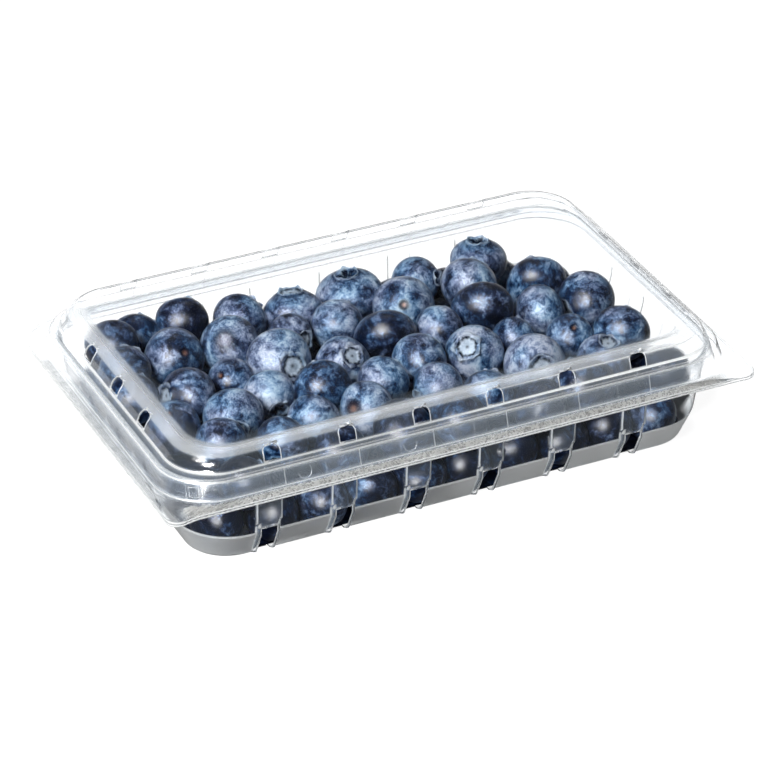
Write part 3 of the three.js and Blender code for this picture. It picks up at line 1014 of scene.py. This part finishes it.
def showing(pos, radius, top, topRadius):
    # lower berries that would be seen beyond the top ones, away from the front and the left end
    seenIn = np.stack([viewRight, viewUp], 1)
    angles = np.arange(12) * math.pi / 6
    rim = np.concatenate([[(0, 0)], np.stack([np.cos(angles), np.sin(angles)], 1) * 0.8])
    spots = (pos @ seenIn)[:, None] + radius[:, None, None] * rim[None]
    away = np.linalg.norm(spots[:, :, None] - (top @ seenIn)[None, None], axis=3)
    bare = (away > topRadius[None, None]).all(2).mean(1)
    x, y, z = pos.T
    hidden = np.where(x > heap["showRight"], z < heap["showZ"], (y < heap["showY"]) | (x < heap["showLeft"]))
    return ~hidden & (bare > heap["mostBare"])


def fillEdges(top, topRadius, pos, radius, rng):
    # small berries in the gaps that are left along the walls
    spots = [(x, side * heap["outerY"], z) for side, heights in ((-1, "frontHeights"), (1, "backHeights"))
             for x in range(-72, 73, 3) for z in heap[heights]]
    spots += [(side * heap["outerX"], y, z) for side in (-1, 1) for y in range(-36, 37, 3)
              for z in heap["endHeights"]]
    for spot in rng.permutation(np.array(spots, float)):
        size = rng.uniform(*heap["smallRadius"])
        place = insideWalls(spot[None], np.array([size]))
        every = np.concatenate([top, pos])
        depth = np.concatenate([topRadius, radius]) + size - np.linalg.norm(every - place, axis=1)
        if depth.max() < heap["squeeze"] and not showing(place, np.array([size]), top, topRadius)[0]:
            pos, radius = np.concatenate([pos, place]), np.append(radius, size)
    return pos, radius


def lowStart():
    # the layers' grids without their front edge, and after them the row along the front that stays
    start = []
    for layer, (z, rows, perRow, reachX, reachY) in enumerate(heap["layers"]):
        for row in range(rows):
            for i in range(perRow):
                along = min((i + 0.5 * ((row + layer) % 2)) / (perRow - 0.75) * 2 - 1, 1)
                across = row / (rows - 1) * 2 - 1
                start.append((along * reachX, across * reachY, z))
    start = [place for place in start if place[2] > heap["upperZ"] or place[1] > heap["frontEdge"]]
    count, reach, y, z = heap["frontRow"]
    return start, [(x, y, z) for x in np.linspace(-reach, reach, count)] + [heap["rightEnd"]]


def fillBelow(top, topRadius, rng):
    # berries under the top ones: pushed apart, and the worst pressed and the ones that show left out
    free, fixed = lowStart()
    start = np.array(free + fixed)
    pos = start + rng.uniform(-heap["jitter"], heap["jitter"], start.shape)
    radius = (heap["diameter"] + rng.uniform(-1, 1, len(pos)) * heap["spread"]) / 2
    radius[len(free):] = rng.uniform(*heap["stayRadius"], len(fixed))
    clear = np.linalg.norm(pos[:, None] - top[None], axis=2) - radius[:, None] - topRadius[None]
    keep = (start[:, 2] <= heap["upperZ"]) | (clear.min(1) > -heap["diameter"] * 0.35)
    stays = (np.arange(len(pos)) >= len(free))[keep]
    pos, radius = pos[keep], radius[keep]
    n = len(top)
    push, stayPush, sink = heap["lowMoves"]
    while True:
        for _ in range(heap["lowSteps"]):
            depth, way = overlaps(np.concatenate([top, pos]), np.concatenate([topRadius, radius]))
            move = (way * depth[:, :, None]).sum(1)[n:]
            pos = insideWalls(pos + move * np.where(stays, stayPush, push)[:, None] - (0, 0, sink), radius)
        depth, _ = overlaps(np.concatenate([top, pos]), np.concatenate([topRadius, radius]))
        worst = depth[n:].max(1)
        keep = stays | ~showing(pos, radius, top, topRadius)
        if keep.all() and worst.max() < heap["squeeze"]:
            return fillEdges(top, topRadius, pos, radius, rng)
        if keep.all():
            # the lowest berries along the walls are the last to go
            x, y, z = np.abs(pos).T
            inner = ((y < heap["innerY"]) & (x < heap["innerX"])) | (z > heap["innerZ"])
            weight = np.where(inner, 1, 0.1) * np.where(stays, 0.01, 1)
            keep[(depth[n:].sum(1) * (worst >= heap["squeeze"]) * weight).argmax()] = False
        pos, radius, stays = pos[keep], radius[keep], stays[keep]


berryForm = {
    "crownAngle": 22.0,  # degrees from the pole to the crown's rim
    "scarAngle": 8.0,
    # rings of the mesh near the crown and near the stem scar, in those angles
    "crownRings": (0, 0.25, 0.5, 0.66, 0.74, 0.81, 0.88, 0.94, 1.0, 1.07, 1.14, 1.22, 1.5),
    "scarRings": (2.4, 1.7, 1.3, 1.05, 0.8, 0.5, 0.25, 0),
    "waves": 5, "waveHeight": (0.008, 0.026), "waveRate": (1.5, 4.5),  # all heights in radii of the berry
    "pit": 0.10, "openPit": 2.2,  # depth of a crown's disc, and how many times deeper an open one is
    "discEdge": (0.74, 0.09), "starEdge": (0.42, 0.44),  # a shut and an open disc's edge, and its lobes
    # height, place and width of each rise and dent, in crown angles and in scar angles
    "crownRelief": [(0.04, 1.12, 0.25), (0.02, 0, 0.10)],
    "scarRelief": [(-0.05, 0, 0.8), (0.02, 1.25, 0.35), (0.012, 0, 0.35)],
    "wideScar": 2.0,
    "discGrey": 0.65, "scarBrown": 0.9, "heartOrange": 0.7,  # how strong each tint is
    "tone": (0.5, 0.07),  # middle, and how much a berry's own tone counts
    "frill": 0.17, "frillRows": 4,  # height of the crown's lobes
    "frillThick": 0.18,  # mm
    "frillLean": (0, 80),  # degrees that they open
    # the lobes' dry grey toward their tips, partly a painted highlight where they catch light, and their
    # tone
    "frillGreyAndGlint": 0.4, "frillTone": 0.54,
}


def berryAngles(form, count):
    # rings from the crown to the stem scar, close together at both
    near = np.array(form["crownRings"]) * np.radians(form["crownAngle"])
    far = math.pi - np.array(form["scarRings"]) * np.radians(form["scarAngle"])
    between = np.linspace(near[-1], far[0], count - len(near) - len(far) + 2)[1:-1]
    return np.concatenate([near, between, far])


def berryCharacter(rng, form, diameter, flat, tone, face):
    # what makes one berry differ from the next
    waves = []
    for _ in range(form["waves"]):
        axis = rng.normal(size=3)
        axis /= np.linalg.norm(axis)
        height, rate = rng.uniform(*form["waveHeight"]), rng.uniform(*form["waveRate"])
        waves.append((axis, height, rate, rng.uniform(0, 6.3)))
    return {"waves": waves, "diameter": diameter, "flat": flat, "tone": tone, "face": face,
            "crown": np.radians(form["crownAngle"]) * rng.uniform(0.82, 1.12),
            "turn": rng.uniform(0, 6.3), "wobble": rng.uniform(0, 6.3),
            "lean": np.radians(rng.uniform(*form["frillLean"])), "ragged": rng.uniform(0, 6.3, 3)}


def bulge(berry, direction):
    radius = np.ones(len(direction))
    for axis, amount, rate, phase in berry["waves"]:
        radius += amount * np.cos(direction @ axis * rate + phase)
    return radius


def lobesAt(berry, phi):
    # five pointed lobes round a crown, each a little different
    turn = phi + berry["turn"] + 0.14 * np.sin(2 * phi + berry["wobble"])
    return 1 - np.abs((turn * 5 / (2 * math.pi)) % 1 - 0.5) * 2


def berryBody(berry, form, theta, meridians):
    # one berry about its own axis: crown at +Z, stem scar at -Z
    phi = np.arange(meridians) * 2 * math.pi / meridians
    t, p = np.meshgrid(theta[1:-1], phi, indexing="ij")
    t = np.concatenate([[0.0], t.ravel(), [math.pi]])
    p = np.concatenate([[0.0], p.ravel(), [0.0]])
    direction = np.stack([np.sin(t) * np.cos(p), np.sin(t) * np.sin(p), np.cos(t)], 1)
    radius = bulge(berry, direction)
    isOpen = berry["face"] == "open"
    first, second, _ = berry["ragged"]
    # the crown: q goes from 0 at the pole to 1 at the crown's rim
    q = t / berry["crown"]
    ragged = 0.035 * np.sin(11 * p + first) + 0.025 * np.sin(17 * p + second)
    within, lobed = form["starEdge"] if isOpen else form["discEdge"]
    edge = ragged + (within + lobed * lobesAt(berry, p))
    radius -= form["pit"] * (form["openPit"] if isOpen else 1) * (1 - smoothStep((q - edge + 0.10) / 0.16))
    radius += sum(height * ridge(q - place, width) for height, place, width in form["crownRelief"])
    # the stem scar: s goes from 0 at the other pole to 1 at the scar's rim
    wide = form["wideScar"] if berry["face"] in ("wide", "dry") else 1.0
    s = (math.pi - t) / np.radians(form["scarAngle"]) / wide
    radius += sum(height * ridge(s - place, width) for height, place, width in form["scarRelief"])
    verts = direction * radius[:, None] * berry["diameter"] / 2
    verts[:, 2] *= berry["flat"]
    hollow = 1 - smoothStep((q - edge) / 0.08)
    uneven = 0.8 + 0.5 * np.sin(3 * p + first) * np.sin(8 * p + second)
    # painted shade: dark lines in the crevice inside the crown's lobes and round its collar
    creviceShade = uneven * (1.5 * ridge(q - edge - 0.03, 0.075) + 0.9 * ridge(q - 1.16, 0.07))
    # the open crown's hollow gets painted shade too; then a dark ring round the stem scar and a dark dot at
    # the crown's middle
    dark = creviceShade + hollow * 0.95 * isOpen + ridge(s - 1.0, 0.35) * 0.8 + ridge(q, 0.06)
    middleTone, ownTone = form["tone"]
    values = {
        "disc": hollow * (0.0 if isOpen else form["discGrey"]),
        "shade": np.clip(dark, 0, 1),
        "scar": (1 - smoothStep((s - 0.75) / 0.45)) * form["scarBrown"],
        "heart": (1 - smoothStep((s - 0.28) / 0.30)) * form["heartOrange"],
        "tone": np.full(len(t), middleTone + ownTone * berry["tone"]),
    }
    if berry["face"] in ("plain", "dry"):
        values["scar"] *= 0.3 if berry["face"] == "plain" else 0.6
        values["heart"] *= 0
    return verts, values


def berryFaces(rings, meridians):
    faces = []
    for c in range(meridians):
        d = (c + 1) % meridians
        faces.append((0, 1 + c, 1 + d, -1))
        for r in range(rings - 3):
            base = 1 + r * meridians
            faces.append((base + c, base + meridians + c, base + meridians + d, base + d))
        last = 1 + (rings - 3) * meridians
        faces.append((last + c, 1 + (rings - 2) * meridians, last + d, -1))
    return np.array(faces)


def crownFrill(berry, form, columns):
    # the dried lobes that stand round the crown's disc
    phi = np.arange(columns) * 2 * math.pi / columns
    first, second, third = berry["ragged"]
    ragged = 1 + 0.14 * np.sin(7 * phi + first) + 0.10 * np.sin(13 * phi + second)
    height = form["frill"] * (0.28 + 0.72 * lobesAt(berry, phi) ** 0.9) * ragged
    angle = berry["crown"] * 0.98
    out = np.stack([np.cos(phi), np.sin(phi), np.zeros(columns)], 1)
    direction = out * math.sin(angle) + (0, 0, math.cos(angle))
    base = direction * (bulge(berry, direction) - 0.015)[:, None]
    shares = np.linspace(0, 1, form["frillRows"])
    verts = []
    for share in shares:
        lean = berry["lean"] * share * (1 + 0.25 * np.sin(2 * phi + third))
        way = out * np.sin(lean)[:, None] + np.array((0, 0, 1)) * np.cos(lean)[:, None]
        verts.append(base + way * (height * share)[:, None])
    verts = np.concatenate(verts) * berry["diameter"] / 2
    verts[:, 2] *= berry["flat"]
    share = np.repeat(shares, columns)
    # painted shade at the lobes' foot; toward their tips a dry grey that is partly a painted highlight
    return verts, {"disc": share * form["frillGreyAndGlint"], "shade": 0.95 * (1 - share) ** 1.5, "scar": share * 0,
                   "heart": share * 0, "tone": np.full(len(verts), form["frillTone"])}


def crownAxis(face, turn, rng):
    # the way the crown points
    if turn is None:
        side = Vector(rng.normal(size=3)).normalized()
        return (side - viewBack * (side.dot(viewBack) + 0.8)).normalized()
    u, v = turn
    if face == "plain":  # the crown is out of sight
        return (viewRight * u + viewUp * v - viewBack * 0.8).normalized()
    seen = viewRight * u + viewUp * v + viewBack * math.sqrt(max(1 - u * u - v * v, 0.0))
    return seen.normalized() if face in ("crown", "open") else -seen.normalized()


def joinParts(parts, material, name):
    verts, faces, count = [], [], 0
    values = {key: [] for key in parts[0][2]}
    for v, f, own in parts:
        verts.append(v)
        faces.append(np.where(f >= 0, f + count, -1))
        count += len(v)
        for key in values:
            values[key].append(own[key])
    faceList = [tuple(int(i) for i in face if i >= 0) for face in np.concatenate(faces)]
    piece = addPiece(name, np.concatenate(verts), faceList, material)
    for key, own in values.items():
        addValues(piece, key, np.concatenate(own))
    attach(piece, "tray")
    return piece


def makeHeap():
    rng = np.random.default_rng(7)
    start = np.array([(x, y, heapLevel) for x, y, *_ in topBerries], float)
    topRadius = np.array([diameter / 2 * (2 + flat) / 3 for _, _, diameter, flat, *_ in topBerries])
    top = placeTop(start, topRadius)
    low, lowRadius = fillBelow(top, topRadius, rng)
    print("berries:", len(top), "+", len(low))
    groups = {"topBerries": [], "lowBerries": []}
    for place, (x, _, diameter, flat, tone, face, turn) in zip(top, topBerries):
        # painted shade: darker colour on the berries at the left
        tone -= heap["leftShadeTone"] * (x < heap["leftX"])
        groups["topBerries"].append((place, diameter, flat, tone, face, turn))
    for place, radius in zip(low, lowRadius):
        # random tones kept dark, and darker along the front: painted shade
        tone = rng.uniform(*heap["lowToneAndShade"]) - heap["frontShadeTone"] * (place[1] < heap["frontY"])
        groups["lowBerries"].append((place, radius * heap["lowWidth"], heap["lowFlat"], tone, "plain", None))
    frills, pieces = [], {}
    for name, group in groups.items():
        rings, meridians, columns = heap["meshes"][name]
        theta = berryAngles(berryForm, rings)
        faces = berryFaces(len(theta), meridians)
        frillFaces = np.array(gridFaces(berryForm["frillRows"], columns))
        parts = []
        for place, diameter, flat, tone, face, turn in group:
            berry = berryCharacter(rng, berryForm, diameter, flat, tone, face)
            spin = np.array(crownAxis(face, turn, rng).to_track_quat("Z", "Y").to_matrix()).T
            verts, values = berryBody(berry, berryForm, theta, meridians)
            # painted shade over the lower berries, less over those in front
            if name == "lowBerries":
                dim = heap["frontShade"] if place[1] < heap["dimY"] else heap["lowShade"]
                values["shade"] = np.maximum(values["shade"], dim)
            parts.append((insideWalls(verts @ spin + place, heap["air"]), faces, values))
            verts, values = crownFrill(berry, berryForm, columns)
            frills.append((insideWalls(verts @ spin + place, heap["air"] * 1.6), frillFaces, values))
        pieces[name] = joinParts(parts, blueSkin, name)
    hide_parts("berries")
    thicken(joinParts(frills, blueSkin, "crownFrills"), berryForm["frillThick"], 0)
    return np.concatenate([top, low])


heapPlaces = makeHeap()


heapCore = {
    "reachX": 76.5, "reachY": 46.0, "corner": 13.0,
    # share of the reach, and height: the underside from its middle out, beside the wall, and the top
    "under": [(0.02, 1.6), (0.3, 1.6), (0.6, 1.6), (0.85, 1.6), (0.93, 1.6)],
    "skirt": [(0.97, 0.7), (1.045, 0.7), (1.045, 1.8), (0.93, 4.5), (0.93, 7.0), (0.93, 10.0)],
    "top": [(share, 13.0) for share in (0.9, 0.85, 0.7, 0.55, 0.4, 0.25, 0.1, 0.02)],
    # its tone, and painted shade over all of it
    "lump": 1.6, "tone": 0.44, "shade": 0.82,
}


def makeCore(spec):
    # a dark body inside the heap, painted shade for the shadowed berries there, lumpy with the berries that
    # press on it
    straightX, straightY = spec["reachX"] - spec["corner"], spec["reachY"] - spec["corner"]
    loop = makeLoop(np.linspace(-straightX, straightX, 52), np.linspace(-straightY, straightY, 28), 8)
    rings = []
    for share, z in spec["under"] + spec["skirt"] + spec["top"]:
        ring = ringAt(loop, (spec["reachX"], spec["reachY"], spec["corner"], spec["corner"], z))
        ring[:, :2] *= share
        rings.append(ring)
    verts = np.concatenate(rings)
    nearest = np.linalg.norm(verts[:, None, :2] - heapPlaces[None, :, :2], axis=2).min(1)
    onTop = verts[:, 2] > spec["top"][0][1] - 1
    verts[:, 2] += np.where(onTop, spec["lump"] * np.cos(nearest / 3), 0)
    verts = insideWalls(verts, heap["air"])
    faces = gridFaces(len(rings), loop["count"])
    ends = range(loop["count"])
    faces += [tuple(ends)[::-1], tuple(len(verts) - loop["count"] + i for i in ends)]
    piece = addPiece("heapCore", verts, faces, blueSkin)
    # painted shade
    addValues(piece, "tone", np.full(len(verts), spec["tone"]))
    addValues(piece, "shade", np.full(len(verts), spec["shade"]))
    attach(piece, "tray")


makeCore(heapCore)
print("heap made")


studio = {
    # the white sweep: its share of lamp light, and its own glow as each kind of ray meets it
    "floorSize": 3000, "floorDrop": 0.02,
    "floorShade": 0.16,
    "floorGlow": {"seen": 0.93, "matt": (0.045, 0.19), "gloss": (0.07, 1.0), "perFace": 1.068},
    "glossEnds": (-30, 90),  # in gloss it goes from its dark front to its bright back between these y
    "mattEnds": (-60, 110),  # what it gives matt things grows to the right between these x
    # painted shadow on the floor under the pack, as seen through the sheets
    "underPack": {"x": (64, 79.5), "y": (44, 49.5), "glow": 0.17},  # where the pack keeps light off it
    "farGloss": (4, 7, 0.95),  # behind this many faces what shines in gloss gets this light
    "roomMatt": 0.006,  # the room's light on matt things
    # the room as gloss shows it, by the angle from the back: light behind, dim above and dark in front
    "roomGloss": [(125, 0.02), (95, 0.04), (62, 0.08), (40, 0.35)],
    "flagWay": (180 - 25.6, 31.1),  # a black flag at the back, which the flat lid mirrors
    "flag": [(22, 1.0), (13, 0.01)],
    # one lamp shapes the matt things, the next gives the sheen, the last lifts the far tops
    "keyLamp": {"way": (-62, 46), "far": 1.6, "size": (0.5, 0.5), "power": 42, "color": (1.0, 0.985, 0.96),
                "gloss": False},
    "sheenLamp": {"way": (-40, 28), "far": 1.6, "size": (0.6, 0.6), "power": 70, "color": (1.0, 0.985, 0.96),
                  "matt": False},
    "overheadLamp": {"way": (150, 66), "far": 1.15, "size": (0.9, 0.5), "power": 2.5, "color": (1, 1, 1)},
    "bounces": 32,  # enough to see through every sheet of the pack
}


def byRay(tree, seen, through, gloss, matt):
    # one value for what is seen bare, and others for what is seen through the sheet, for gloss and for matt
    value = seen
    rays = newNode(tree, "LightPath")
    for depth, other in (("Transmission Depth", through), ("Glossy Depth", gloss), ("Diffuse Depth", matt)):
        deep = mathNode(tree, "MULTIPLY", rays.outputs[depth], 1.0)  # no more than 1
        value = mixValue(tree, deep, value, other)
    return value


def farther(tree, gloss):
    # what shines deep inside the pack mirrors the light back of the studio
    first, last, level = studio["farGloss"]
    faces = newNode(tree, "LightPath").outputs["Transmission Depth"]
    return mixValue(tree, rangeNode(tree, faces, (first, last)), gloss, level)


def addFloor():
    material, tree = newMaterial("floorPaper")
    rays = newNode(tree, "LightPath")
    split = newNode(tree, "SeparateXYZ", {0: placeNode(tree)})
    glow = studio["floorGlow"]
    sweep = rangeNode(tree, split.outputs["Y"], [y * mm for y in studio["glossEnds"]], glow["gloss"])
    matt = rangeNode(tree, split.outputs["X"], [x * mm for x in studio["mattEnds"]], glow["matt"])
    # seen through the sheets, the sweep makes up for what each of their faces turns away
    through = mathNode(tree, "POWER", glow["perFace"], rays.outputs["Transmission Depth"])
    # painted shadow under the pack
    under = studio["underPack"]
    away = [rangeNode(tree, mathNode(tree, "ABSOLUTE", split.outputs[axis.upper()]),
                      [end * mm for end in under[axis]]) for axis in ("x", "y")]
    through = mixValue(tree, mathNode(tree, "MAXIMUM", *away), under["glow"], through)
    shade = mathNode(tree, "SUBTRACT", 1.0, rays.outputs["Glossy Depth"])
    paper = newNode(tree, "BsdfPrincipled", {
        "Base Color": mathNode(tree, "MULTIPLY", shade, studio["floorShade"]),
        "Roughness": 0.9,
        "Specular IOR Level": 0.0,
        "Emission Color": (1, 1, 1),
        "Emission Strength": byRay(tree, glow["seen"], through, farther(tree, sweep), matt),
    })
    newNode(tree, "OutputMaterial", {"Surface": paper.outputs[0]})
    size = studio["floorSize"]
    verts = [(-size, -size, 0), (size, -size, 0), (size, size, 0), (-size, size, 0)]
    floor = addPiece("floor", verts, [(0, 1, 2, 3)], material, smooth=False)
    floor.location.z = -studio["floorDrop"] * mm


def addLamp(name):
    lamp = studio[name]
    data = bpy.data.lights.new(name, "AREA")
    data.shape = "ELLIPSE"
    data.size, data.size_y = lamp["size"]
    data.energy = lamp["power"]
    data.color = lamp["color"]
    way = wayTo(*lamp["way"])
    turn = way.to_track_quat("Z", "Y").to_matrix().to_4x4()
    piece = bpy.data.objects.new(name, data)
    piece.matrix_world = Matrix.Translation(way * lamp["far"]) @ turn
    piece.visible_diffuse = lamp.get("matt", True)
    piece.visible_glossy = lamp.get("gloss", True)
    bpy.context.scene.collection.objects.link(piece)


def towards(tree, way, stops):
    # a shade by the angle between a direction and one way: stops are (degrees, shade), widest first
    dot = newNode(tree, "VectorMath", {0: placeNode(tree, "Generated")})
    dot.operation = "DOT_PRODUCT"
    dot.inputs[1].default_value = way
    share = mathNode(tree, "SUBTRACT", dot.outputs["Value"], -1.0)
    share = mathNode(tree, "DIVIDE", share, 2.0)
    places = [((1 + math.cos(math.radians(angle))) / 2, shade) for angle, shade in stops]
    return rampNode(tree, share, places)


def addRoom():
    # a white room: dim for matt surfaces, and with a black flag at the back in gloss
    world = bpy.data.worlds.new("studio")
    world.use_nodes = True
    tree = world.node_tree
    flag = towards(tree, wayTo(*studio["flagWay"]), studio["flag"])
    walls = towards(tree, wayTo(studio["flagWay"][0], 0), studio["roomGloss"])
    gloss = farther(tree, mathNode(tree, "MULTIPLY", flag, walls))
    sky = tree.nodes["Background"]
    sky.inputs["Color"].default_value = (1, 1, 1, 1)
    tree.links.new(byRay(tree, 1.0, 1.0, gloss, studio["roomMatt"]), sky.inputs["Strength"])
    world.cycles.sampling_method = "NONE"  # so that what matt things get is the dim room alone
    bpy.context.scene.world = world


addFloor()
addRoom()
for lampName in ("keyLamp", "sheenLamp", "overheadLamp"):
    addLamp(lampName)
bpy.context.scene.view_settings.view_transform = "Standard"
bpy.context.scene.cycles.max_bounces = studio["bounces"]
bpy.context.scene.cycles.transmission_bounces = studio["bounces"]
print("stage lit")
